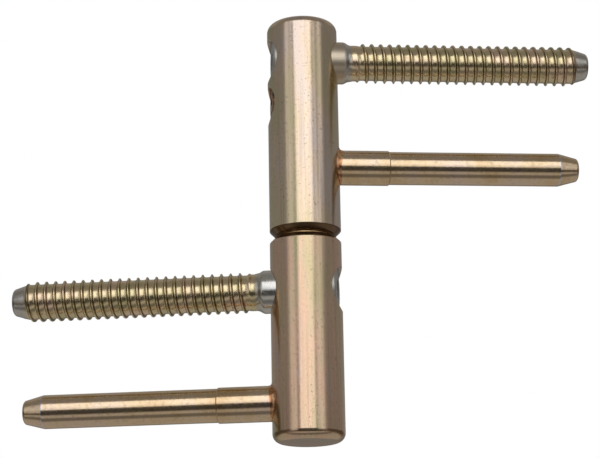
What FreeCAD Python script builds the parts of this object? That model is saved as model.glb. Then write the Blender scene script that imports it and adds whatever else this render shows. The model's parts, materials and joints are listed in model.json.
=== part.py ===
# Drill-in lift-off hinge for a timber door: two 20 mm barrels, each with a threaded stud that turns
# in it and a plain locating pin brazed to it.
# Row frame: +Z up along the hinge axis, origin in the middle of the gap between the barrels,
# the frame leaf's studs along -X, the door leaf swung past straight by "rest_swing".
import FreeCAD, Part
import math
import os
import re

import Sketcher
from FreeCAD import Placement, Rotation, Vector

DIMENSIONS = {
    # barrels
    "barrel_radius": 10.0,
    "gap": 0.7,
    "door_barrel_length": 62.95,
    "frame_barrel_length": 57.35,
    "end_round": 2.5,
    "gap_bevel": 1.45,
    "edge_round": 0.35,
    "rest_swing": 11.7,
    # where the stud and pin axes are, measured from the middle of the gap
    "door_stud_rise": 52.0,
    "frame_stud_drop": 15.15,
    "stud_spacing": 31.45,
    # threaded studs
    "stud_bore_radius": 6.1,
    "bore_rim_bevel": 0.3,
    "stud_head_radius": 6.05,
    "stud_head_back": 8.75,
    "stud_head_bevel": 0.4,
    "stud_head_front": 11.8,
    "stud_taper_end": 13.7,
    "stud_taper_radius": 5.12,
    "stud_neck_round": 0.8,
    "stud_root_radius": 4.91,
    "stud_crest_radius": 5.68,
    "thread_pitch": 2.62,
    "thread_start": 16.3,
    "thread_end": 77.9,
    "ridge_base": 1.15,
    "ridge_crest": 0.3,
    "ridge_sink": 0.15,
    "stud_point_start": 78.8,
    "stud_tip": 82.95,
    "stud_tip_radius": 3.65,
    "stud_tip_round": 1.2,
    "key_across_flats": 5.0,
    "key_depth": 4.0,
    "lock_groove_radius": 5.0,
    "lock_groove_width": 3.1,
    # plain locating pins, the door leaf's pressed a little deeper than the frame leaf's
    "frame_pin_floor": 4.0,
    "door_pin_floor": 7.0,
    "door_pin_inset": 0.9,
    "pin_root_radius": 4.97,
    "pin_shoulder": 24.75,
    "pin_shank_radius": 4.70,
    "pin_shank_start": 25.05,
    "pin_point_start": 73.7,
    "pin_point_radius": 3.2,
    "pin_tip": 79.4,
    "pin_tip_round": 1.0,
    "braze_low": 8.0,
    "braze_leg": 1.1,
    "braze_rise": 1.0,
    "braze_hollow": 0.3,
    # hinge pin, bush and thrust ball
    "hinge_pin_radius": 5.0,
    "hinge_pin_depth": 8.4,
    "hinge_pin_rise": 27.0,
    "hinge_pin_bevel": 0.8,
    "hinge_pin_foot_bevel": 0.3,
    "lock_nib_radius": 1.4,
    "lock_nib_clearance": 0.05,
    "nib_hole_overlap": 0.1,
    "lock_nib_bite": 0.9,
    "running_clearance": 0.04,
    "bush_radius": 6.5,
    "bush_rise": 26.5,
    "bush_flange_radius": 7.5,
    "bush_relief_rise": 28.0,
    "ball_radius": 2.5,
    "ball_seat_radius": 2.3,
    "touch_clearance": 0.02,
    # height adjuster in the door barrel
    "wedge_radius": 4.55,
    "wedge_bore_radius": 4.6,
    "wedge_bore_rise": 45.0,
    "wedge_top_rise": 43.2,
    "wedge_bevel": 0.4,
    "adjuster_rise": 38.8,
    "adjuster_radius": 5.0,
    "adjuster_hole_radius": 5.05,
    "adjuster_hole_floor": 2.5,
    "adjuster_sink_radius": 5.8,
    "adjuster_back": 9.05,
    "adjuster_bevel": 0.5,
    "adjuster_tip": 1.6,
    "adjuster_key": 4.0,
    "adjuster_key_depth": 2.6,
    "ramp_angle": 60,
    "plug_thickness": 1.0,
}
# the thrust ball sits in a 90 degree seat in the top of the hinge pin, and carries the wedge
BALL_RISE = "hinge_pin_rise - ball_seat_radius + ball_radius * sqrt(2) + touch_clearance"
WEDGE_RISE = f"({BALL_RISE} + ball_radius + touch_clearance)"

doc = FreeCAD.newDocument("door_hinge")
sheet = doc.addObject("Spreadsheet::Sheet", "Sizes")
for row, (word, size) in enumerate(DIMENSIONS.items(), start=1):
    sheet.set(f"A{row}", word)
    sheet.set(f"B{row}", str(size))
    sheet.setAlias(f"B{row}", word)
doc.recompute()


def value(expression):
    """The number that an expression of the sheet's words stands for."""
    answer = sheet.evalExpression(expression)
    return float(getattr(answer, "Value", answer))


def linked(expression):
    """The same expression, written as another object has to write it."""
    return re.sub(r"[a-z]+(_[a-z]+)+|gap", lambda word: "Sizes." + word.group(0), expression)


def bind(item, target, expression):
    item.setExpression(target, linked(expression))


def new_body(label):
    body = doc.addObject("PartDesign::Body", label)
    body.Label = label
    return body


def new_sketch(body, name, plane, offset=None):
    """An empty sketch on one of the body's own origin planes, lifted off it by offset."""
    sketch = body.newObject("Sketcher::SketchObject", body.Label + "_" + name)
    support = next(item for item in body.Origin.OriginFeatures if item.Role == plane)
    sketch.AttachmentSupport = [(support, "")]
    sketch.MapMode = "FlatFace"
    if offset:
        bind(sketch, "AttachmentOffset.Base.z", offset)
    return sketch


def hold(sketch, direction, geometry, point, expression):
    """Holds a point of a sketch at a distance from the sketch's origin."""
    if expression == "0":
        axis = -2 if direction == "DistanceX" else -1
        sketch.addConstraint(Sketcher.Constraint("PointOnObject", geometry, point, axis))
        return
    rule = Sketcher.Constraint(direction, -1, 1, geometry, point, value(expression))
    index = sketch.addConstraint(rule)
    bind(sketch, f"Constraints[{index}]", expression)


def draw_outline(sketch, corners):
    """A closed outline of straight lines, with each corner a pair of expressions."""
    count = len(corners)
    points = [Vector(value(across), value(along), 0) for across, along in corners]
    lines = [Part.LineSegment(points[i], points[(i + 1) % count]) for i in range(count)]
    sketch.addGeometry(lines, False)
    for i in range(count):
        sketch.addConstraint(Sketcher.Constraint("Coincident", i, 2, (i + 1) % count, 1))
    for i, (across, along) in enumerate(corners):
        hold(sketch, "DistanceX", i, 1, across)
        hold(sketch, "DistanceY", i, 1, along)


def draw_circle(sketch, radius, along="0"):
    centre = Vector(0, value(along), 0)
    sketch.addGeometry(Part.Circle(centre, Vector(0, 0, 1), value(radius)), False)
    hold(sketch, "DistanceX", 0, 3, "0")
    hold(sketch, "DistanceY", 0, 3, along)
    index = sketch.addConstraint(Sketcher.Constraint("Radius", 0, value(radius)))
    bind(sketch, f"Constraints[{index}]", radius)


def turn(body, corners):
    """A lathe-turned form: corners are (radius, height) pairs, round the body's Z axis."""
    profile = new_sketch(body, "profile", "XZ_Plane")
    draw_outline(profile, corners)
    turned = body.newObject("PartDesign::Revolution", body.Label + "_turned")
    turned.Profile = profile
    turned.ReferenceAxis = (profile, ["V_Axis"])
    turned.Angle = 360
    doc.recompute()
    return turned


def cut_away(body, sketch, length=None, backwards=False):
    """Cuts a sketch out of a body: right through both ways, or for a length one way."""
    before = body.Shape.Volume
    pocket = body.newObject("PartDesign::Pocket", sketch.Label + "_cut")
    pocket.Profile = sketch
    if length is None:
        pocket.Type = "ThroughAll"
        pocket.Midplane = True
    else:
        pocket.Type = "Length"
        bind(pocket, "Length", length)
        pocket.Reversed = backwards
    doc.recompute()
    if not body.Shape.Volume < before - 0.01:
        raise RuntimeError(pocket.Label + " cuts nothing")
    return pocket


def ring_edges(shape, rings):
    """The names of the circular edges with these (radius, height) expressions."""
    wanted = [(value(radius), value(height)) for radius, height in rings]
    names = []
    for number, edge in enumerate(shape.Edges, start=1):
        if not isinstance(edge.Curve, Part.Circle):
            continue
        centre = edge.Curve.Center
        for radius, height in wanted:
            if abs(edge.Curve.Radius - radius) < 1e-4 and abs(centre.z - height) < 1e-4:
                names.append(f"Edge{number}")
    if len(names) < len(wanted):
        raise RuntimeError("an edge to round is missing")
    return names


def soften(body, kind, size, rings):
    """Rounds ("Fillet") or bevels ("Chamfer") circular edges of the body as it stands."""
    base = body.Tip
    feature = body.newObject("PartDesign::" + kind, f"{body.Label}_{size}")
    feature.Base = (base, ring_edges(base.Shape, rings))
    bind(feature, "Radius" if kind == "Fillet" else "Size", size)
    doc.recompute()


def hexagon(body, across_flats, depth):
    """A hex key socket, sunk into the body's lowest face at Z = 0."""
    sketch = new_sketch(body, "key", "XY_Plane")
    radius = f"({across_flats}) / sqrt(3)"
    turns = [math.radians(60 * i) for i in range(6)]
    corners = [Vector(math.cos(a), math.sin(a), 0) * value(radius) for a in turns]
    sides = [Part.LineSegment(corners[i], corners[(i + 1) % 6]) for i in range(6)]
    sketch.addGeometry(sides, False)
    for i in range(6):
        sketch.addConstraint(Sketcher.Constraint("Coincident", i, 2, (i + 1) % 6, 1))
        if i:
            sketch.addConstraint(Sketcher.Constraint("Equal", 0, i))
    sketch.addGeometry(Part.Circle(Vector(0, 0, 0), Vector(0, 0, 1), value(radius)), True)
    sketch.addConstraint(Sketcher.Constraint("Coincident", 6, 3, -1, 1))
    for i in range(6):
        sketch.addConstraint(Sketcher.Constraint("PointOnObject", i, 1, 6))
    sketch.addConstraint(Sketcher.Constraint("PointOnObject", 0, 1, -1))
    index = sketch.addConstraint(Sketcher.Constraint("Radius", 6, value(radius)))
    bind(sketch, f"Constraints[{index}]", radius)
    cut_away(body, sketch, depth, backwards=True)


def cross_bore(body, name, radius, height):
    """A hole right through a barrel along its own X."""
    sketch = new_sketch(body, name, "YZ_Plane")
    draw_circle(sketch, radius, height)
    cut_away(body, sketch)


def side_bore(body, name, radius, height, floor, side):
    """A blind hole from one side of a barrel (side is 1 or -1 along X) in to a flat floor."""
    offset = floor if side > 0 else f"-({floor})"
    sketch = new_sketch(body, name, "YZ_Plane", offset)
    draw_circle(sketch, radius, height)
    cut_away(body, sketch, "2 * barrel_radius", backwards=side > 0)


def side_sink(body, name, mouth_radius, hole_radius, height, side):
    """A 90 degree countersink at the mouth of a side hole; mouth_radius is its size at the rim."""
    sketch = new_sketch(body, name, "XZ_Plane")
    bind(sketch, "AttachmentOffset.Base.y", height)
    sign = "" if side > 0 else "-"
    beyond = f"{sign}(barrel_radius + 1)"
    within = f"{sign}(barrel_radius - (({mouth_radius}) - ({hole_radius})))"
    draw_outline(
        sketch,
        [
            (beyond, "0"),
            (beyond, f"({mouth_radius}) + 1"),
            (within, hole_radius),
            (within, "0"),
        ],
    )
    before = body.Shape.Volume
    groove = body.newObject("PartDesign::Groove", f"{body.Label}_{name}_cut")
    groove.Profile = sketch
    groove.ReferenceAxis = (sketch, ["H_Axis"])
    groove.Angle = 360
    doc.recompute()
    if not body.Shape.Volume < before - 0.01:
        raise RuntimeError(groove.Label + " cuts nothing")


def bevel_rims(body, size):
    """Bevels the saddle-shaped rims that side holes leave in a barrel's round face."""
    base = body.Tip
    radius = value("barrel_radius")
    rims = []
    for number, edge in enumerate(base.Shape.Edges, start=1):
        if isinstance(edge.Curve, (Part.Circle, Part.Line)):
            continue
        points = edge.discretize(9)
        if all(abs(math.hypot(point.x, point.y) - radius) < 1e-3 for point in points):
            rims.append(f"Edge{number}")
    bevel = body.newObject("PartDesign::Chamfer", body.Label + "_rim_bevel")
    bevel.Base = (base, rims)
    bind(bevel, "Size", size)
    doc.recompute()


def place(body, rise, along_stud=0.0, turn_to=None, swing=False):
    """Puts a body in the row frame; turn_to of 1 or -1 lays its Z along the leaf's X or -X."""
    leaf = Rotation(Vector(0, 0, 1), value("rest_swing") if swing else 0)
    lay = Rotation(Vector(0, 1, 0), 90 * turn_to) if turn_to else Rotation()
    lengthways = Vector((turn_to or 0) * along_stud, 0, 0)
    body.Placement = Placement(leaf.multVec(lengthways) + Vector(0, 0, rise), leaf.multiply(lay))


# ---------------------------------------------------------------- door leaf
def make_door_barrel():
    body = new_body("upper_barrel")
    base = "gap / 2"
    top = "door_barrel_length"
    turn(
        body,
        [
            ("bush_radius", "0"),
            ("barrel_radius - gap_bevel", "0"),
            ("barrel_radius", "gap_bevel"),
            ("barrel_radius", top),
            ("0", top),
            ("0", f"wedge_bore_rise - {base}"),
            ("wedge_bore_radius", f"wedge_bore_rise - {base}"),
            ("wedge_bore_radius", f"bush_relief_rise - {base}"),
            ("bush_radius", f"bush_relief_rise - {base}"),
        ],
    )
    gap_edges = [("barrel_radius", "gap_bevel"), ("barrel_radius - gap_bevel", "0")]
    soften(body, "Fillet", "edge_round", gap_edges)
    soften(body, "Fillet", "end_round", [("barrel_radius", top)])
    cross_bore(body, "stud_bore", "stud_bore_radius", f"door_stud_rise - {base}")
    adjuster_height = f"adjuster_rise - {base}"
    hole_radius = "adjuster_hole_radius"
    side_bore(body, "adjuster_hole", hole_radius, adjuster_height, "adjuster_hole_floor", -1)
    bevel_rims(body, "bore_rim_bevel")
    side_sink(body, "adjuster_sink", "adjuster_sink_radius", hole_radius, adjuster_height, -1)
    pin_height = f"door_stud_rise - stud_spacing - {base}"
    side_bore(body, "pin_socket", "pin_root_radius", pin_height, "door_pin_floor", 1)
    nib = new_sketch(body, "nib_hole", "XY_Plane", f"wedge_bore_rise - {base} - nib_hole_overlap")
    draw_circle(nib, "lock_nib_radius + lock_nib_clearance")
    cut_away(body, nib, "stud_bore_radius", backwards=True)
    place(body, value(base), swing=True)
    return body


def make_bush():
    body = new_body("bearing_bush")
    bore = "hinge_pin_radius + running_clearance"
    turn(
        body,
        [
            (bore, "0"),
            ("bush_flange_radius", "0"),
            ("bush_flange_radius", "gap"),
            ("bush_radius", "gap"),
            ("bush_radius", "bush_rise + gap / 2"),
            (bore, "bush_rise + gap / 2"),
        ],
    )
    place(body, -value("gap / 2"), swing=True)
    return body


def make_lock_plug():
    """A plug pressed into the top of the wedge bore; its nib keeps the door stud from sliding out."""
    body = new_body("stud_lock_plug")
    foot = "wedge_bore_rise - plug_thickness"
    nib_top = f"door_stud_rise - lock_groove_radius - nib_hole_overlap - ({foot})"
    turn(
        body,
        [
            ("0", "0"),
            ("wedge_bore_radius", "0"),
            ("wedge_bore_radius", "plug_thickness"),
            ("lock_nib_radius", "plug_thickness"),
            ("lock_nib_radius", nib_top),
            ("0", nib_top),
        ],
    )
    place(body, value(foot), swing=True)
    return body


def make_wedge():
    """The lifting wedge: a round slug on the thrust ball, with a steep ramp for the adjuster."""
    body = new_body("lifting_wedge")
    height = f"wedge_top_rise - {WEDGE_RISE}"
    turn(
        body,
        [
            ("0", "0"),
            ("wedge_radius - wedge_bevel", "0"),
            ("wedge_radius", "wedge_bevel"),
            ("wedge_radius", height),
            ("0", height),
        ],
    )
    ramp_drop = "tan(ramp_angle) * (wedge_radius - adjuster_tip + 1) + touch_clearance"
    ramp_low = f"adjuster_rise - {WEDGE_RISE} - {ramp_drop}"
    ramp_high = f"{height} + 1 - touch_clearance"
    ramp_reach = "(wedge_top_rise - adjuster_rise + 1) / tan(ramp_angle) - adjuster_tip"
    ramp = new_sketch(body, "ramp", "XZ_Plane")
    draw_outline(
        ramp,
        [
            ("-wedge_radius - 1", ramp_low),
            (ramp_reach, ramp_high),
            ("-wedge_radius - 1", ramp_high),
        ],
    )
    cut_away(body, ramp)
    place(body, value(WEDGE_RISE), swing=True)
    return body


def make_height_screw():
    """The height adjuster: a grub screw from the side, whose 120 degree point bears on the ramp."""
    body = new_body("height_screw")
    length = "adjuster_back - adjuster_tip"
    point = "adjuster_radius / tan(ramp_angle)"
    turn(
        body,
        [
            ("0", "0"),
            ("adjuster_radius - adjuster_bevel", "0"),
            ("adjuster_radius", "adjuster_bevel"),
            ("adjuster_radius", f"{length} - {point}"),
            ("0", length),
        ],
    )
    hexagon(body, "adjuster_key", "adjuster_key_depth")
    place(body, value("adjuster_rise"), -value("adjuster_back"), 1, swing=True)
    return body


# ---------------------------------------------------------------- frame leaf
def make_frame_barrel():
    body = new_body("lower_barrel")
    top = "frame_barrel_length"
    turn(
        body,
        [
            ("0", "0"),
            ("barrel_radius", "0"),
            ("barrel_radius", f"{top} - gap_bevel"),
            ("barrel_radius - gap_bevel", top),
            ("hinge_pin_radius", top),
            ("hinge_pin_radius", f"{top} + gap / 2 - hinge_pin_depth"),
            ("0", f"{top} + gap / 2 - hinge_pin_depth"),
        ],
    )
    gap_edges = [("barrel_radius", f"{top} - gap_bevel"), ("barrel_radius - gap_bevel", top)]
    soften(body, "Fillet", "edge_round", gap_edges)
    soften(body, "Fillet", "end_round", [("barrel_radius", "0")])
    stud_height = f"{top} + gap / 2 - frame_stud_drop"
    cross_bore(body, "stud_bore", "stud_bore_radius", stud_height)
    bevel_rims(body, "bore_rim_bevel")
    pin_height = f"{stud_height} - stud_spacing"
    side_bore(body, "pin_socket", "pin_root_radius", pin_height, "frame_pin_floor", -1)
    nib = new_sketch(body, "nib_hole", "XY_Plane", stud_height)
    draw_circle(nib, "lock_nib_radius + lock_nib_clearance")
    cut_away(body, nib, "frame_stud_drop - hinge_pin_depth + nib_hole_overlap", backwards=True)
    place(body, -value("gap / 2 + frame_barrel_length"))
    return body


def make_hinge_pin():
    """Pressed into the frame barrel: its nib locks the frame stud, its top seats the ball."""
    body = new_body("hinge_pin")
    nib_length = "lock_nib_bite + frame_stud_drop - stud_head_radius - hinge_pin_depth"
    top = f"{nib_length} + hinge_pin_depth + hinge_pin_rise"
    turn(
        body,
        [
            ("0", "0"),
            ("lock_nib_radius", "0"),
            ("lock_nib_radius", nib_length),
            ("hinge_pin_radius - hinge_pin_foot_bevel", nib_length),
            ("hinge_pin_radius", f"{nib_length} + hinge_pin_foot_bevel"),
            ("hinge_pin_radius", f"{top} - hinge_pin_bevel"),
            ("hinge_pin_radius - hinge_pin_bevel", top),
            ("ball_seat_radius", top),
            ("0", f"{top} - ball_seat_radius"),
        ],
    )
    place(body, -value(f"{nib_length} + hinge_pin_depth"))
    return body


def make_ball():
    ball = doc.addObject("Part::Sphere", "thrust_ball")
    ball.Label = "thrust_ball"
    bind(ball, "Radius", "ball_radius")
    ball.Placement = Placement(Vector(0, 0, value(BALL_RISE)), Rotation())
    doc.recompute()
    return ball


# ---------------------------------------------------------------- studs and pins, one per leaf
def make_stud(label, rise, direction, swing):
    """The threaded stud: a round head that turns in the barrel, a taper and a wood thread."""
    body = new_body(label)
    back = "stud_head_back"
    groove_low = f"{back} - lock_groove_width / 2"
    groove_high = f"{back} + lock_groove_width / 2"
    turn(
        body,
        [
            ("0", "0"),
            ("stud_head_radius - stud_head_bevel", "0"),
            ("stud_head_radius", "stud_head_bevel"),
            ("stud_head_radius", groove_low),
            ("lock_groove_radius", groove_low),
            ("lock_groove_radius", groove_high),
            ("stud_head_radius", groove_high),
            ("stud_head_radius", f"{back} + stud_head_front"),
            ("stud_taper_radius", f"{back} + stud_taper_end"),
            ("stud_root_radius", f"{back} + thread_start"),
            ("stud_root_radius", f"{back} + stud_point_start"),
            ("stud_tip_radius", f"{back} + stud_tip"),
            ("0", f"{back} + stud_tip"),
        ],
    )
    neck = [("stud_head_radius", f"{back} + stud_head_front")]
    soften(body, "Fillet", "stud_neck_round", neck)
    tip = [("stud_tip_radius", f"{back} + stud_tip")]
    soften(body, "Fillet", "stud_tip_round", tip)
    ridge = new_sketch(body, "ridge", "XZ_Plane")
    middle = f"{back} + thread_start"
    draw_outline(
        ridge,
        [
            ("stud_root_radius - ridge_sink", f"{middle} - ridge_base / 2"),
            ("stud_crest_radius", f"{middle} - ridge_crest / 2"),
            ("stud_crest_radius", f"{middle} + ridge_crest / 2"),
            ("stud_root_radius - ridge_sink", f"{middle} + ridge_base / 2"),
        ],
    )
    thread = body.newObject("PartDesign::AdditiveHelix", label + "_thread")
    thread.Profile = ridge
    thread.ReferenceAxis = (ridge, ["V_Axis"])
    thread.Mode = "pitch-height-angle"
    bind(thread, "Pitch", "thread_pitch")
    bind(thread, "Height", "thread_end - thread_start")
    thread.LeftHanded = False
    doc.recompute()
    hexagon(body, "key_across_flats", "key_depth")
    place(body, value(rise), -value(back), direction, swing)
    return body


def make_locating_pin(label, rise, root, inset, direction, swing):
    """The plain pin: a thicker root, a small step, a long shank and a tapered point."""
    body = new_body(label)
    less = f"- {root} - {inset}"
    turn(
        body,
        [
            ("0", "0"),
            ("pin_root_radius", "0"),
            ("pin_root_radius", f"pin_shoulder {less}"),
            ("pin_shank_radius", f"pin_shank_start {less}"),
            ("pin_shank_radius", f"pin_point_start {less}"),
            ("pin_point_radius", f"pin_tip {less}"),
            ("0", f"pin_tip {less}"),
        ],
    )
    soften(body, "Fillet", "pin_tip_round", [("pin_point_radius", f"pin_tip {less}")])
    place(body, value(rise), value(root), direction, swing)
    return body


def make_braze(label, rise, direction, swing):
    """The ring of braze between a pin's root and the barrel, cut to the barrel's round face."""
    body = new_body(label)
    low = "braze_low"
    turn(
        body,
        [
            ("pin_root_radius", low),
            ("pin_root_radius + braze_leg", low),
            ("pin_root_radius + braze_leg", "barrel_radius"),
            ("pin_root_radius + braze_leg * braze_hollow", "barrel_radius + braze_rise * braze_hollow"),
            ("pin_root_radius", "barrel_radius + braze_rise"),
        ],
    )
    barrel = new_sketch(body, "barrel", "YZ_Plane")
    draw_circle(barrel, "barrel_radius")
    cut_away(body, barrel)
    place(body, value(rise), 0.0, direction, swing)
    return body


frame_stud_height = "-frame_stud_drop"
door_stud_height = "door_stud_rise"
frame_pin_height = "-frame_stud_drop - stud_spacing"
door_pin_height = "door_stud_rise - stud_spacing"

pieces = [
    make_frame_barrel(),
    make_hinge_pin(),
    make_stud("frame_stud", frame_stud_height, -1, False),
    make_locating_pin("frame_locating_pin", frame_pin_height, "frame_pin_floor", "0", -1, False),
    make_braze("frame_pin_braze", frame_pin_height, -1, False),
    make_ball(),
    make_wedge(),
    make_door_barrel(),
    make_bush(),
    make_lock_plug(),
    make_height_screw(),
    make_stud("door_stud", door_stud_height, 1, True),
    make_locating_pin("door_locating_pin", door_pin_height, "door_pin_floor", "door_pin_inset", 1, True),
    make_braze("door_pin_braze", door_pin_height, 1, True),
]
doc.recompute()

for item in doc.Objects:
    if "Invalid" in item.State or "Error" in item.State:
        raise RuntimeError(f"{item.Label} did not compute: {item.State}")

os.makedirs("parts", exist_ok=True)
for piece in pieces:
    if piece.Shape.isNull() or not piece.Shape.isValid() or len(piece.Shape.Solids) != 1:
        raise RuntimeError(piece.Label + " is not one valid solid")
    piece.Shape.exportStep(f"parts/{piece.Label}.step")
    box = piece.Shape.BoundBox
    print(f"{piece.Label}: {piece.Shape.Volume:.1f} mm3, {box}")
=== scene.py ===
"""Looks of a drill-in lift-off door hinge: two plated barrels, each with a threaded stud and a plain pin.

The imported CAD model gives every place; lengths here are millimetres times MM, angles are degrees.
"""

import json
import math

import bpy
from mathutils import Matrix, Quaternion, Vector


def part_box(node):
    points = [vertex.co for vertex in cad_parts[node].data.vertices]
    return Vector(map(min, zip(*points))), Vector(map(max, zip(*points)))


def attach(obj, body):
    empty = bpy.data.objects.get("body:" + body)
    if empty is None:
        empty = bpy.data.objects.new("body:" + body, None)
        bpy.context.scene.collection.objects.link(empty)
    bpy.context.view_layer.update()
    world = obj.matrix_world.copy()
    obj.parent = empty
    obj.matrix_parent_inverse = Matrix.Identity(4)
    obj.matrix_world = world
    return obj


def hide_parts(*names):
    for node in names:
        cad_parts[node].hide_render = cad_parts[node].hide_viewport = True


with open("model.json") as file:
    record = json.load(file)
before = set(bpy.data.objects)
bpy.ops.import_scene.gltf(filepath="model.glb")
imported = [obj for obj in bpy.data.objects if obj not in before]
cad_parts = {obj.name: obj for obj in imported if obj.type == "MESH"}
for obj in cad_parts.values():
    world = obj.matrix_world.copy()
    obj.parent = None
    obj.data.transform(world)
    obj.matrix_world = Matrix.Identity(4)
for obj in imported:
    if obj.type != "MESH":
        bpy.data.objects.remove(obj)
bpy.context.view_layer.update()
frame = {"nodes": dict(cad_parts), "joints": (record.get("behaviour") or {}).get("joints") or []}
nodes = frame["nodes"]
joints = {joint["name"]: joint for joint in frame["joints"]}

MM = 0.001
AROUND = 96  # facets round a turned piece
SHARP_ANGLE = 35.0


# ---------------------------------------------------------------- materials
class Finish:
    """A procedural metal, built round one Principled shader."""

    def __init__(self, name, roughness, metallic=1.0):
        self.material = bpy.data.materials.new(name)
        self.material.use_nodes = True
        self.tree = self.material.node_tree
        self.shader = next(n for n in self.tree.nodes if n.type == "BSDF_PRINCIPLED")
        self.shader.inputs["Metallic"].default_value = metallic
        self.shader.inputs["Roughness"].default_value = roughness
        self.place = self.node("ShaderNodeTexCoord").outputs["Object"]

    def node(self, kind, **settings):
        made = self.tree.nodes.new(kind)
        for word, setting in settings.items():
            setattr(made, word, setting)
        return made

    def feed(self, socket, source):
        """Sets a socket to a number or colour, or links another node's output to it."""
        if isinstance(source, bpy.types.NodeSocket):
            self.tree.links.new(source, socket)
        elif isinstance(source, tuple) and len(source) == 3 and socket.type == "RGBA":
            socket.default_value = (*source, 1.0)
        else:
            socket.default_value = source

    def math(self, operation, *values):
        made = self.node("ShaderNodeMath", operation=operation)
        for socket, value in zip(made.inputs, values):
            self.feed(socket, value)
        return made.outputs[0]

    def stretched(self, scale):
        """Coordinates in the part's own frame, scaled by a different amount along each axis."""
        made = self.node("ShaderNodeMapping")
        self.feed(made.inputs["Vector"], self.place)
        made.inputs["Scale"].default_value = scale
        return made.outputs[0]

    def noise(self, scale, detail=2.0, roughness=0.5, vector=None):
        made = self.node("ShaderNodeTexNoise")
        self.feed(made.inputs["Vector"], vector or self.place)
        made.inputs["Scale"].default_value = scale
        made.inputs["Detail"].default_value = detail
        made.inputs["Roughness"].default_value = roughness
        return made.outputs[0]

    def between(self, value, low, high, out_low=0.0, out_high=1.0):
        """Maps low..high to out_low..out_high, without going past either."""
        made = self.node("ShaderNodeMapRange", interpolation_type="SMOOTHSTEP")
        for socket, number in zip(made.inputs, (value, low, high, out_low, out_high)):
            self.feed(socket, number)
        return made.outputs[0]

    def ramp(self, value, *stops):
        """A run of colours; each stop is (position, colour)."""
        made = self.node("ShaderNodeValToRGB")
        self.feed(made.inputs[0], value)
        run = made.color_ramp.elements
        while len(run) < len(stops):
            run.new(0.5)
        for element, (position, colour) in zip(run, stops):
            element.position = position
            element.color = (*colour, 1.0)
        return made.outputs[0]

    def mix(self, amount, first, second):
        made = self.node("ShaderNodeMix", data_type="RGBA")
        self.feed(made.inputs["Factor"], amount)
        self.feed(made.inputs[6], first)
        self.feed(made.inputs[7], second)
        return made.outputs[2]

    def from_line(self, along, start=(0.0, 0.0, 0.0)):
        """How far out from a line through start, and how far along it, in metres."""
        shift = self.node("ShaderNodeVectorMath", operation="SUBTRACT")
        self.feed(shift.inputs[0], self.place)
        shift.inputs[1].default_value = start
        run = self.node("ShaderNodeVectorMath", operation="DOT_PRODUCT")
        self.feed(run.inputs[0], shift.outputs[0])
        run.inputs[1].default_value = along
        across = self.node("ShaderNodeVectorMath", operation="CROSS_PRODUCT")
        self.feed(across.inputs[0], shift.outputs[0])
        across.inputs[1].default_value = along
        length = self.node("ShaderNodeVectorMath", operation="LENGTH")
        self.feed(length.inputs[0], across.outputs[0])
        return length.outputs["Value"], run.outputs["Value"]

    def raised(self, *layers):
        """Bump from several heights; each layer is (height, depth in metres)."""
        normal = None
        for height, depth in layers:
            bump = self.node("ShaderNodeBump")
            bump.inputs["Strength"].default_value = 1.0
            bump.inputs["Distance"].default_value = depth
            self.feed(bump.inputs["Height"], height)
            if normal is not None:
                self.feed(bump.inputs["Normal"], normal)
            normal = bump.outputs[0]
        self.feed(self.shader.inputs["Normal"], normal)

    def finish(self, colour, roughness):
        self.feed(self.shader.inputs["Base Color"], colour)
        self.feed(self.shader.inputs["Roughness"], roughness)
        return self.material


SILVER = (0.58, 0.57, 0.54)
COPPER = (0.40, 0.22, 0.12)

# where looks change, in mm: out from a stud's or barrel's line, or along it
BARREL_SKIN = (9.45, 9.7)
# below: how far from the gap the painted shade on the upper barrel's bevel reaches
GAP_PAINTED_SHADE = (1.75, 2.0)
GAP_EDGE = (2.0, 2.4)
STUD_BACK_FACE = (-6.0, -5.0)
STUD_HEAD_END = (11.3, 12.2)
STUD_DULL_END = (11.5, 14.0)
STUD_NECK_END = (13.0, 14.3)
STUD_POINT = (78.2, 79.6)
THREAD_FROM = (16.0, 16.8)
THREAD_TO = (78.6, 79.2)
# the two below: radii of the ridge flanks that get painted shade
FLANK_FOOT = (4.97, 5.12)
FLANK_TOP = (5.42, 5.58)


def metres(places):
    return [place * MM for place in places]


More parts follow.
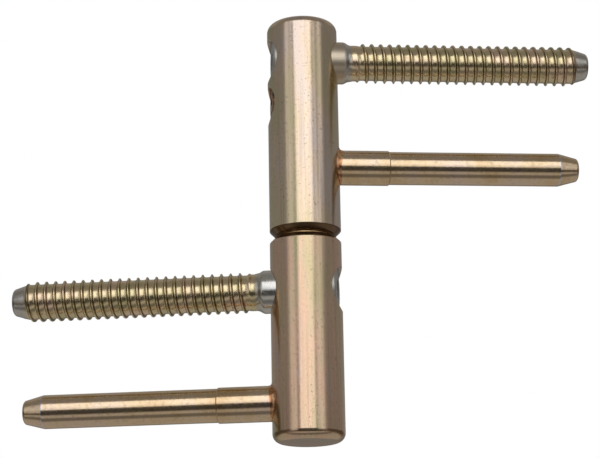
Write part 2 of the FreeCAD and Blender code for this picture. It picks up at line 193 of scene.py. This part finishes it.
def barrel_finish(name, tones, end, copper_below):
    """Drawn steel bar, zinc plated and yellow passivated in four tones, and bare in its side holes.

    end is how far from the gap the bar stops being straight; holes nearer the gap than
    copper_below are copper-brown inside, the others silvery. Where copper_below is set, the bevel
    next to the gap is painted near-black brown: painted shade where the other barrel keeps out the light.
    """
    f = Finish(name, 0.24)
    bands = f.noise(1.0, 3.0, 0.55, f.stretched((330.0, 330.0, 9.0)))
    streaks = f.noise(1.0, 4.0, 0.6, f.stretched((1500.0, 1500.0, 24.0)))
    grain = f.noise(2600.0, 3.0)
    clouds = f.noise(1.0, 3.0, 0.55, f.stretched((130.0, 130.0, 34.0)))
    tint = f.math("ADD", f.math("MULTIPLY", clouds, 0.65), f.math("MULTIPLY", bands, 0.35))
    plating = f.ramp(tint, (0.38, tones[0]), (0.47, tones[1]), (0.54, tones[2]), (0.62, tones[3]))
    pits = f.between(f.noise(1900.0, 1.0), 0.62, 0.74)
    plating = f.mix(f.math("MULTIPLY", pits, 0.6), plating, (0.34, 0.27, 0.18))
    plating = f.mix(f.between(streaks, 0.45, 0.75, 0.0, 0.3), plating, (0.45, 0.37, 0.27))
    plating = f.mix(f.between(bands, 0.5, 0.7, 0.0, 0.16), plating, (0.40, 0.31, 0.22))
    out, along = f.from_line((0.0, 0.0, 1.0))
    height = f.math("ABSOLUTE", along)
    # painted shade: the bevel at the gap darkened to near-black brown, standing in for the shade between
    # the barrels
    if copper_below:
        gap_painted_shade = f.between(height, *metres(GAP_PAINTED_SHADE), 0.92, 0.0)
        plating = f.mix(gap_painted_shade, plating, (0.12, 0.065, 0.03))
    inside = f.between(out, *metres(BARREL_SKIN), 1.0, 0.0)
    off_gap = f.between(height, *metres(GAP_EDGE))
    off_end = f.between(height, (end - 1.0) * MM, (end - 0.5) * MM, 1.0, 0.0)
    bare = f.math("MULTIPLY", inside, f.math("MULTIPLY", off_gap, off_end))
    silvery = f.between(height, copper_below * MM, (copper_below + 0.5) * MM)
    colour = f.mix(bare, plating, f.mix(silvery, COPPER, SILVER))
    rough = f.between(f.math("ADD", grain, streaks), 0.7, 1.3, 0.15, 0.26)
    f.raised((bands, 0.008 * MM), (streaks, 0.0034 * MM), (grain, 0.002 * MM))
    return f.finish(colour, f.math("MAXIMUM", rough, f.math("MULTIPLY", bare, 0.4)))


def pin_finish(name, along, start, point):
    """Ground steel pin, yellow passivated: shiny, a little grainy, bare where its point begins."""
    f = Finish(name, 0.14)
    _, run = f.from_line(along, start)
    ripples = f.noise(1.0, 2.0, 0.5, f.stretched((140.0, 1100.0, 1100.0)))
    grain = f.noise(2600.0, 3.0)
    clouds = f.noise(110.0, 3.0)
    golds = ((0.32, (0.66, 0.47, 0.27)), (0.5, (0.74, 0.57, 0.38)), (0.68, (0.74, 0.58, 0.46)))
    gold = f.ramp(clouds, *golds)
    mottle = f.noise(900.0, 3.0, 0.6)
    plating = f.mix(f.between(mottle, 0.52, 0.72, 0.0, 0.35), gold, (0.42, 0.33, 0.22))
    off_point = f.math("ABSOLUTE", f.math("SUBTRACT", run, point * MM))
    worn = f.between(off_point, 0.15 * MM, 0.45 * MM, 0.8, 0.0)
    colour = f.mix(worn, plating, (0.66, 0.62, 0.62))
    rough = f.between(f.math("ADD", grain, mottle), 0.7, 1.3, 0.13, 0.24)
    f.raised((ripples, 0.004 * MM), (grain, 0.0022 * MM))
    return f.finish(colour, rough)


def stud_finish(name, along, start, head, head_rough):
    """Rolled wood thread, yellow passivated in patches, silvery at the neck and the point; its ridge
    flanks are darkened, a painted shade in the thread's creases.
    """
    f = Finish(name, 0.22)
    out, run = f.from_line(along, start)
    clouds = f.noise(170.0, 3.0)
    mottle = f.noise(700.0, 3.0, 0.6)
    grain = f.noise(2400.0, 3.0)
    golds = ((0.34, (0.66, 0.58, 0.34)), (0.5, (0.78, 0.65, 0.41)), (0.66, (0.86, 0.66, 0.49)))
    plating = f.ramp(clouds, *golds)
    plating = f.mix(f.between(mottle, 0.5, 0.75, 0.0, 0.5), plating, (0.40, 0.31, 0.17))
    neck = f.between(run, *metres(STUD_NECK_END), 1.0, 0.0)
    point = f.between(run, *metres(STUD_POINT))
    silver = f.mix(f.between(mottle, 0.4, 0.7, 0.0, 0.5), (0.60, 0.58, 0.54), (0.46, 0.43, 0.37))
    colour = f.mix(f.math("MAXIMUM", neck, point), plating, silver)
    colour = f.mix(f.between(run, *metres(STUD_HEAD_END), 1.0, 0.0), colour, head)
    # painted shade: the ridge flanks above the core darkened to brown-black, standing in for the shade in
    # the thread's creases
    off_core = f.between(out, *metres(FLANK_FOOT))
    below_crest = f.between(out, *metres(FLANK_TOP), 0.7, 0.0)
    threaded = f.between(run, *metres(THREAD_FROM))
    before_point = f.between(run, *metres(THREAD_TO), 1.0, 0.0)
    on_flank = f.math("MULTIPLY", off_core, below_crest)
    on_thread = f.math("MULTIPLY", threaded, before_point)
    crease_painted_shade = f.math("MULTIPLY", on_flank, on_thread)
    colour = f.mix(crease_painted_shade, colour, (0.15, 0.11, 0.06))
    rough = f.between(f.math("ADD", grain, mottle), 0.7, 1.3, 0.17, 0.3)
    dull = f.between(run, *metres(STUD_DULL_END), head_rough, 0.0)
    rough = f.math("MAXIMUM", rough, dull)
    back = f.between(run, *metres(STUD_BACK_FACE), 0.5, 0.0)
    colour = f.mix(f.math("MULTIPLY", back, 2.0), colour, SILVER)
    f.raised((mottle, 0.006 * MM), (grain, 0.0024 * MM))
    return f.finish(colour, f.math("MAXIMUM", rough, back))


def screw_finish():
    """The height screw: copper-brown, with darker patches."""
    f = Finish("height_screw_copper", 0.4)
    clouds = f.noise(450.0, 3.0)
    grain = f.noise(2600.0, 2.0)
    coppers = ((0.38, (0.12, 0.06, 0.04)), (0.55, (0.48, 0.28, 0.16)), (0.7, (0.60, 0.40, 0.27)))
    colour = f.ramp(clouds, *coppers)
    f.raised((grain, 0.002 * MM))
    return f.finish(colour, f.between(grain, 0.3, 0.7, 0.32, 0.48))


def braze_finish(name):
    """Copper-coloured braze, smooth where it ran."""
    f = Finish(name, 0.2)
    clouds = f.noise(600.0, 3.0)
    coppers = ((0.36, (0.40, 0.17, 0.08)), (0.52, (0.66, 0.34, 0.18)), (0.66, (0.80, 0.54, 0.32)))
    colour = f.ramp(clouds, *coppers)
    f.raised((f.noise(1500.0, 3.0), 0.01 * MM))
    return f.finish(colour, f.between(clouds, 0.3, 0.7, 0.16, 0.3))


def bronze_finish():
    f = Finish("bush_bronze", 0.25)
    rings = f.noise(1.0, 2.0, 0.5, f.stretched((60.0, 60.0, 5000.0)))
    colour = f.ramp(rings, (0.3, (0.55, 0.34, 0.15)), (0.7, (0.74, 0.50, 0.26)))
    f.raised((rings, 0.002 * MM))
    return f.finish(colour, f.between(rings, 0.3, 0.7, 0.2, 0.32))


def bright_finish():
    f = Finish("bright_steel", 0.2)
    grain = f.noise(2500.0, 3.0)
    colour = f.ramp(grain, (0.3, (0.45, 0.45, 0.44)), (0.7, (0.66, 0.66, 0.64)))
    f.raised((grain, 0.001 * MM))
    return f.finish(colour, f.between(grain, 0.3, 0.7, 0.15, 0.27))


def dress(piece, material):
    piece.data.materials.clear()
    piece.data.materials.append(material)


# ---------------------------------------------------------------- meshes
class Turned:
    """A closed mesh round a local X axis, built ring by ring and then laid along a stud or pin."""

    def __init__(self):
        self.points = []
        self.faces = []

    def point(self, along, out, angle):
        self.points.append((along, out * math.cos(angle), out * math.sin(angle)))
        return len(self.points) - 1

    def ring(self, along, radius):
        """A ring of points; radius is a number or a function of the angle."""
        ring = []
        for step in range(AROUND):
            angle = math.tau * step / AROUND
            ring.append(self.point(along, radius(angle) if callable(radius) else radius, angle))
        return ring

    def bridge(self, near, far):
        for step in range(AROUND):
            after = (step + 1) % AROUND
            self.faces.append((near[step], near[after], far[after], far[step]))

    def cap(self, ring, along, backwards=False):
        """Closes a ring to a middle point; the face looks towards +X, or -X if backwards."""
        centre = self.point(along, 0.0, 0.0)
        for step in range(AROUND):
            edge = (ring[step], ring[(step + 1) % AROUND])
            self.faces.append((*(reversed(edge) if backwards else edge), centre))

    def lay(self, name, start, along):
        """The mesh as an object, its local X laid along a level axis that begins at start."""
        mesh = bpy.data.meshes.new(name)
        mesh.from_pydata(self.points, [], self.faces)
        up = Vector((0.0, 0.0, 1.0))
        along = Vector(along).normalized()
        turn = Matrix((along, up.cross(along), up)).transposed().to_4x4()
        mesh.transform(Matrix.Translation(start) @ turn @ Matrix.Scale(MM, 4))
        mesh.shade_smooth()
        mesh.set_sharp_from_angle(angle=math.radians(SHARP_ANGLE))
        piece = bpy.data.objects.new(name, mesh)
        bpy.context.scene.collection.objects.link(piece)
        return piece


def smoothed(value, low, high):
    """0 below low, 1 above high, and an S-curve between them."""
    t = min(max((value - low) / (high - low), 0.0), 1.0)
    return t * t * (3.0 - 2.0 * t)


# threaded stud, in mm from the hinge line
STUD_BACK = -8.75
HEAD_RADIUS = 6.05
HEAD_BEVEL = 0.4
GROOVE_HALF = 1.55
GROOVE_RADIUS = 5.0
NECK_START = 11.5
NECK_END = 13.8
NECK_RADIUS = 5.12
STEP_START = 15.4
STEP_END = 16.7
CORE_RADIUS = 4.91
NECK_RINGS = 8
PITCH = 2.62
RIDGE_FROM = 14.4
RIDGE_TO = 80.6
RIDGE_HEIGHT = 0.77
RIDGE_WIDTH = 0.34
RIDGE_STEPS = 18
FADE_IN = 1.2  # turns over which the ridge rises, and falls at its other end
FADE_OUT = 1.5
POINT_START = 78.7
STUD_TIP = 82.95
TIP_RADIUS = 3.65
TIP_ROUND = 1.2
TIP_STEPS = 7
KEY_HALF = 2.5
KEY_DEPTH = 4.0
KEY_CONE = 0.9


def core_radius(along):
    """The stud's radius without its ridge: head, S-shaped neck, slight step, core, tapered point."""
    neck = (NECK_RADIUS - HEAD_RADIUS) * smoothed(along, NECK_START, NECK_END)
    step = (CORE_RADIUS - NECK_RADIUS) * smoothed(along, STEP_START, STEP_END)
    point = (TIP_RADIUS - CORE_RADIUS) * max(along - POINT_START, 0.0) / (STUD_TIP - POINT_START)
    return HEAD_RADIUS + neck + step + point


def hexagon(angle):
    """A hexagon's radius at an angle, KEY_HALF from its middle to each flat."""
    side = math.pi / 3
    return KEY_HALF / math.cos(angle % side - side / 2)


def stud_head(shape):
    """The back of the stud: key socket, bevelled head, lock groove and neck. Returns its last ring."""
    floor = shape.ring(STUD_BACK + KEY_DEPTH, hexagon)
    mouth = shape.ring(STUD_BACK, hexagon)
    shape.cap(floor, STUD_BACK + KEY_DEPTH + KEY_CONE, backwards=True)
    shape.bridge(floor, mouth)
    turned = [
        (STUD_BACK, HEAD_RADIUS - HEAD_BEVEL),
        (STUD_BACK + HEAD_BEVEL, HEAD_RADIUS),
        (-GROOVE_HALF, HEAD_RADIUS),
        (-GROOVE_HALF, GROOVE_RADIUS),
        (GROOVE_HALF, GROOVE_RADIUS),
        (GROOVE_HALF, HEAD_RADIUS),
    ]
    reach = RIDGE_FROM - 0.6 * PITCH - NECK_START
    for step in range(NECK_RINGS + 1):
        along = NECK_START + reach * step / NECK_RINGS
        turned.append((along, core_radius(along)))
    near = mouth
    for along, radius in turned:
        far = shape.ring(along, radius)
        shape.bridge(near, far)
        near = far
    return near


def stud_thread(shape, near, crest_up):
    """A right-hand ridge wound on from a ring of points. Returns the ring it ends at.

    crest_up is a place along the stud where the ridge's crest crosses the top.
    """
    count = round(AROUND * (RIDGE_TO - RIDGE_FROM) / PITCH)
    shift = round(AROUND / 4 - AROUND * (crest_up - RIDGE_FROM) / PITCH) % AROUND

    def beside(ring, k):
        return ring[(k + shift) % AROUND]

    def column(k, steps):
        """Points across one pitch of the ridge, k steps round from where it begins."""
        fade = smoothed(k / AROUND, 0.0, FADE_IN) * smoothed((count - k) / AROUND, 0.0, FADE_OUT)
        angle = math.tau * (k + shift) / AROUND
        made = []
        for step in range(steps):
            t = 2.0 * step / RIDGE_STEPS - 1.0
            offset = PITCH / 2 * (0.3 * t + 0.7 * t**3)
            along = RIDGE_FROM + PITCH * k / AROUND + offset
            ridge = RIDGE_HEIGHT * fade / (1.0 + (offset / RIDGE_WIDTH) ** 4)
            made.append(shape.point(along, core_radius(along) + ridge, angle))
        return made

    strip = [column(k, RIDGE_STEPS if k <= count else 1) for k in range(count + AROUND + 1)]
    for k in range(count):
        here = [*strip[k], strip[k + AROUND][0]]
        there = [*strip[k + 1], strip[k + 1 + AROUND][0]]
        for step in range(RIDGE_STEPS):
            shape.faces.append((here[step], there[step], there[step + 1], here[step + 1]))
    # the ridge starts and ends as a step one pitch long, which one many-sided face takes up
    for k in range(AROUND - 1):
        shape.faces.append((beside(near, k), beside(near, k + 1), strip[k + 1][0], strip[k][0]))
    last = AROUND - 1
    start_step = (*strip[0], strip[AROUND][0], strip[last][0])
    shape.faces.append((beside(near, last), beside(near, 0), *start_step))
    tip = stud_tip_outline()
    far = shape.ring(*tip[0])
    end_step = [strip[count + AROUND][0], *reversed(strip[count][1:])]
    for k in range(count, count + AROUND):
        across = end_step if k == count else []
        ahead = (strip[k][0], strip[k + 1][0], beside(far, k + 1), beside(far, k))
        shape.faces.append((*ahead, *across))
    for along, radius in tip[1:]:
        near, far = far, shape.ring(along, radius)
        shape.bridge(near, far)
    return far


def stud_tip_outline():
    """The rounded corner between the tapered point and the flat tip, as (along, radius) pairs."""
    slope = math.atan2(CORE_RADIUS - TIP_RADIUS, STUD_TIP - POINT_START)
    centre = TIP_RADIUS + TIP_ROUND * math.tan(slope) - TIP_ROUND / math.cos(slope)
    corner = []
    for step in range(TIP_STEPS + 1):
        angle = slope + (math.pi / 2 - slope) * step / TIP_STEPS
        along = STUD_TIP - TIP_ROUND * (1.0 - math.sin(angle))
        corner.append((along, centre + TIP_ROUND * math.cos(angle)))
    return corner


def make_stud(name, node, crest_up, head, head_rough):
    """One stud: head, neck, thread and tapered point, laid along the axis that it turns on."""
    joint = joints[node + "_turn"]
    shape = Turned()
    shape.cap(stud_thread(shape, stud_head(shape), crest_up), STUD_TIP)
    piece = shape.lay(name, joint["pos_m"], joint["axis"])
    dress(piece, stud_finish(name + "_plating", joint["axis"], joint["pos_m"], head, head_rough))
    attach(piece, node)
    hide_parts(node)


# braze between a pin and its barrel, in mm
BARREL_RADIUS = 10.0
PIN_RADIUS = 4.97
BRAZE_STEPS = 10
BRAZE_ROOT = 0.4


def make_braze(name, node, body, start, along, size):
    """A concave bead that climbs the pin and spreads on the barrel, fullest on top."""
    shape = Turned()
    rings = [[] for _ in range(BRAZE_STEPS + 3)]
    for step in range(AROUND):
        angle = math.tau * step / AROUND
        top = 0.5 + 0.5 * math.sin(angle)
        uneven = 1.0 + 0.07 * math.sin(3.0 * angle + 0.8) + 0.04 * math.sin(7.0 * angle)
        climb = size * uneven * (0.4 + 0.65 * top + 0.95 * math.cos(angle) ** 2)
        spread = size * uneven * (0.35 + 0.75 * top**2)

        def barrel_at(out):
            return math.sqrt(BARREL_RADIUS**2 - (out * math.cos(angle)) ** 2)

        corner = Vector((barrel_at(PIN_RADIUS), PIN_RADIUS))
        high = corner + Vector((climb, 0.0))
        foot = Vector((barrel_at(PIN_RADIUS + spread), PIN_RADIUS + spread))
        hollow = corner.lerp((high + foot) / 2, 0.15)
        section = []
        for part in range(BRAZE_STEPS + 1):
            t = part / BRAZE_STEPS
            section.append(high * (1 - t) ** 2 + hollow * 2 * t * (1 - t) + foot * t**2)
        section.append(foot - Vector((BRAZE_ROOT, 0.0)))
        section.append(corner - Vector((BRAZE_ROOT, BRAZE_ROOT / 4)))
        for ring, place in zip(rings, section):
            ring.append(shape.point(place.x, place.y, angle))
    for near, far in zip(rings, rings[1:] + rings[:1]):
        shape.bridge(far, near)
    piece = shape.lay(name, start, along)
    dress(piece, braze_finish(name + "_copper"))
    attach(piece, body)
    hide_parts(node)


def middle_height(node):
    low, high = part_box(node)
    return Vector((0.0, 0.0, (low.z + high.z) / 2))


FRAME_WAY = joints["frame_stud_turn"]["axis"]
DOOR_WAY = joints["door_stud_turn"]["axis"]

make_stud("door_stud_threaded", "door_stud", 17.19, (0.64, 0.55, 0.43), 0.38)
make_stud("frame_stud_threaded", "frame_stud", 18.52, (0.66, 0.65, 0.62), 0.2)
pins = (
    ("door_locating_pin", "door_pin_braze", "door_leaf", DOOR_WAY, 1.0, 72.8),
    ("frame_locating_pin", "frame_pin_braze", "frame_leaf", FRAME_WAY, 0.85, 73.7),
)
for pin, bead, body, way, bead_size, point in pins:
    start = middle_height(pin)
    make_braze(bead + "_fillet", bead, body, start, way, bead_size)
    dress(nodes[pin], pin_finish(pin + "_plating", way, start, point))

UPPER_TONES = ((0.66, 0.58, 0.36), (0.72, 0.59, 0.40), (0.77, 0.61, 0.46), (0.74, 0.61, 0.53))
LOWER_TONES = ((0.62, 0.52, 0.31), (0.70, 0.53, 0.36), (0.78, 0.52, 0.37), (0.71, 0.55, 0.46))
dress(nodes["upper_barrel"], barrel_finish("upper_barrel_plating", UPPER_TONES, 60.8, 45.0))
dress(nodes["lower_barrel"], barrel_finish("lower_barrel_plating", LOWER_TONES, 55.2, 0.0))
dress(nodes["bearing_bush"], bronze_finish())
dress(nodes["height_screw"], screw_finish())
bright = bright_finish()
for node in ("hinge_pin", "thrust_ball", "lifting_wedge", "stud_lock_plug"):
    dress(nodes[node], bright)


# ---------------------------------------------------------------- studio
VIEW_TURN = 6.243
VIEW_RISE = -15.251
VIEW_ROLL = -1.013
VIEW_AIM = Vector((-1.48, -0.16, 2.60)) * MM
VIEW_DISTANCE = 536.1 * MM
LENS = 114.79
LAMP_DISTANCE = 1.4


def direction(turn, rise):
    a, e = math.radians(turn), math.radians(rise)
    return Vector((math.sin(a) * math.cos(e), -math.cos(a) * math.cos(e), math.sin(e)))


def make_camera():
    camera = bpy.data.objects.new("camera", bpy.data.cameras.new("camera"))
    bpy.context.scene.collection.objects.link(camera)
    back = direction(VIEW_TURN, VIEW_RISE)
    camera.location = VIEW_AIM + back * VIEW_DISTANCE
    camera.rotation_mode = "QUATERNION"
    roll = Quaternion((0.0, 0.0, 1.0), math.radians(VIEW_ROLL))
    camera.rotation_quaternion = (-back).to_track_quat("-Z", "Y") @ roll
    camera.data.lens = LENS
    camera.data.clip_start = 0.01
    bpy.context.scene.camera = camera


def make_softbox(name, turn, rise, width, height, brightness):
    """A soft light, placed by its azimuth from the camera and its elevation; sizes in degrees."""
    light = bpy.data.lights.new(name, "AREA")
    light.shape = "RECTANGLE"
    light.size = 2 * LAMP_DISTANCE * math.tan(math.radians(width / 2))
    light.size_y = 2 * LAMP_DISTANCE * math.tan(math.radians(height / 2))
    light.energy = brightness * math.pi * light.size * light.size_y
    lamp = bpy.data.objects.new(name, light)
    bpy.context.scene.collection.objects.link(lamp)
    away = direction(VIEW_TURN + turn, rise)
    lamp.location = away * LAMP_DISTANCE
    lamp.rotation_mode = "QUATERNION"
    lamp.rotation_quaternion = (-away).to_track_quat("-Z", "Y")
    lamp.visible_camera = False


ROOM = (  # how bright the room is, by the angle up from the camera's side; -90 is straight down
    (-180, 0.20), (-160, 0.20), (-148, 0.38), (-84, 0.38), (-77, 0.15), (-57, 0.15), (-52, 0.42),
    (-37, 0.42), (-32, 0.05), (-3, 0.05), (3, 0.20), (45, 0.20), (60, 0.22), (95, 0.22), (118, 0.32),
    (150, 0.32), (165, 0.20), (180, 0.20),
)
SIDE_DARK = 0.08
WALL_LOW = 0.32
WALL_HIGH = 0.20


def make_world():
    """White, except in reflections: there a grey room, dark round the camera and at the sides."""
    world = bpy.data.worlds.new("studio")
    bpy.context.scene.world = world
    world.use_nodes = True
    tree = world.node_tree
    tree.nodes.clear()

    def node(kind, *sources, **settings):
        made = tree.nodes.new(kind)
        for word, setting in settings.items():
            setattr(made, word, setting)
        for socket, source in zip(made.inputs, sources):
            if isinstance(source, bpy.types.NodeSocket):
                tree.links.new(source, socket)
            else:
                socket.default_value = source
        return made

    ray = node("ShaderNodeTexCoord").outputs["Generated"]
    up = node("ShaderNodeSeparateXYZ", ray).outputs["Z"]
    level, sideways = direction(VIEW_TURN, 0.0), direction(VIEW_TURN + 90.0, 0.0)
    ahead = node("ShaderNodeVectorMath", ray, level, operation="DOT_PRODUCT").outputs["Value"]
    side = node("ShaderNodeVectorMath", ray, sideways, operation="DOT_PRODUCT").outputs["Value"]
    side = node("ShaderNodeMath", side, operation="ABSOLUTE").outputs[0]
    angle = node("ShaderNodeMath", up, ahead, operation="ARCTAN2").outputs[0]
    turn = node("ShaderNodeMapRange", angle, -math.pi, math.pi, 0.0, 1.0).outputs[0]
    ramp = node("ShaderNodeValToRGB", turn)
    run = ramp.color_ramp.elements
    while len(run) < len(ROOM):
        run.new(0.5)
    for element, (degrees, shade) in zip(run, ROOM):
        element.position = (degrees + 180) / 360
        element.color = (shade, 0.95 * shade, 0.88 * shade, 1.0)
    at_side = node("ShaderNodeMapRange", side, 0.5, 0.8, 0.0, 1.0).outputs[0]
    low_down = node("ShaderNodeMapRange", up, 0.05, 0.2, 1.0, 0.0).outputs[0]
    level_out = node("ShaderNodeMapRange", up, -0.45, -0.25, 0.0, 1.0).outputs[0]
    low_side = node("ShaderNodeMath", low_down, level_out, operation="MULTIPLY").outputs[0]
    dark = node("ShaderNodeMath", at_side, low_side, operation="MULTIPLY").outputs[0]
    foot = node("ShaderNodeMapRange", up, 0.02, 0.08, 0.0, 1.0).outputs[0]
    head = node("ShaderNodeMapRange", up, 0.42, 0.5, 1.0, 0.0).outputs[0]
    on_wall = node("ShaderNodeMath", foot, head, operation="MULTIPLY").outputs[0]
    wall = node("ShaderNodeMapRange", up, 0.1, 0.38, WALL_LOW, WALL_HIGH).outputs[0]

    def blend(amount, first, second):
        mixed = node("ShaderNodeMix", data_type="RGBA")
        for word, source in (("Factor", amount), (6, first), (7, second)):
            tree.links.new(source, mixed.inputs[word])
        return mixed.outputs[2]

    shade = blend(on_wall, ramp.outputs[0], wall)
    side_shade = node("ShaderNodeRGB")
    side_shade.outputs[0].default_value = (SIDE_DARK, 0.8 * SIDE_DARK, 0.56 * SIDE_DARK, 1.0)
    room = node("ShaderNodeBackground", blend(dark, shade, side_shade.outputs[0]))
    backdrop = node("ShaderNodeBackground", (1.0, 1.0, 1.0, 1.0))
    path = node("ShaderNodeLightPath")
    seen_or_lit = (path.outputs["Is Camera Ray"], path.outputs["Is Diffuse Ray"])
    seen = node("ShaderNodeMath", *seen_or_lit, operation="MAXIMUM").outputs[0]
    mixed = node("ShaderNodeMixShader", seen, room.outputs[0], backdrop.outputs[0])
    node("ShaderNodeOutputWorld", mixed.outputs[0])


def make_floor():
    """A pale floor well below the hinge, which is seen from under."""
    mesh = bpy.data.meshes.new("floor")
    half = 5.0
    depth = -0.95
    corners = [(-half, -half, depth), (half, -half, depth), (half, half, depth), (-half, half, depth)]
    mesh.from_pydata(corners, [], [(0, 1, 2, 3)])
    floor = bpy.data.objects.new("floor", mesh)
    bpy.context.scene.collection.objects.link(floor)
    f = Finish("floor_paint", 0.8, metallic=0.0)
    shade = f.ramp(f.noise(3.0, 3.0), (0.3, (0.78, 0.78, 0.77)), (0.7, (0.84, 0.84, 0.83)))
    dress(floor, f.finish(shade, 0.8))
    floor.visible_glossy = False


make_camera()
make_world()
make_floor()
make_softbox("key", 0.0, 30.0, 52.0, 30.0, 1.25)
make_softbox("key_low", -2.0, 8.0, 48.0, 14.0, 0.95)
make_softbox("strip_low", 41.0, 4.0, 24.0, 24.0, 0.58)
make_softbox("strip_right", 37.5, 27.0, 8.0, 22.0, 0.5)
make_softbox("strip_high", 56.0, 27.0, 16.0, 22.0, 0.45)
make_softbox("fill_left", -47.0, 15.0, 24.0, 56.0, 0.45)
bpy.context.scene.view_settings.view_transform = "Standard"
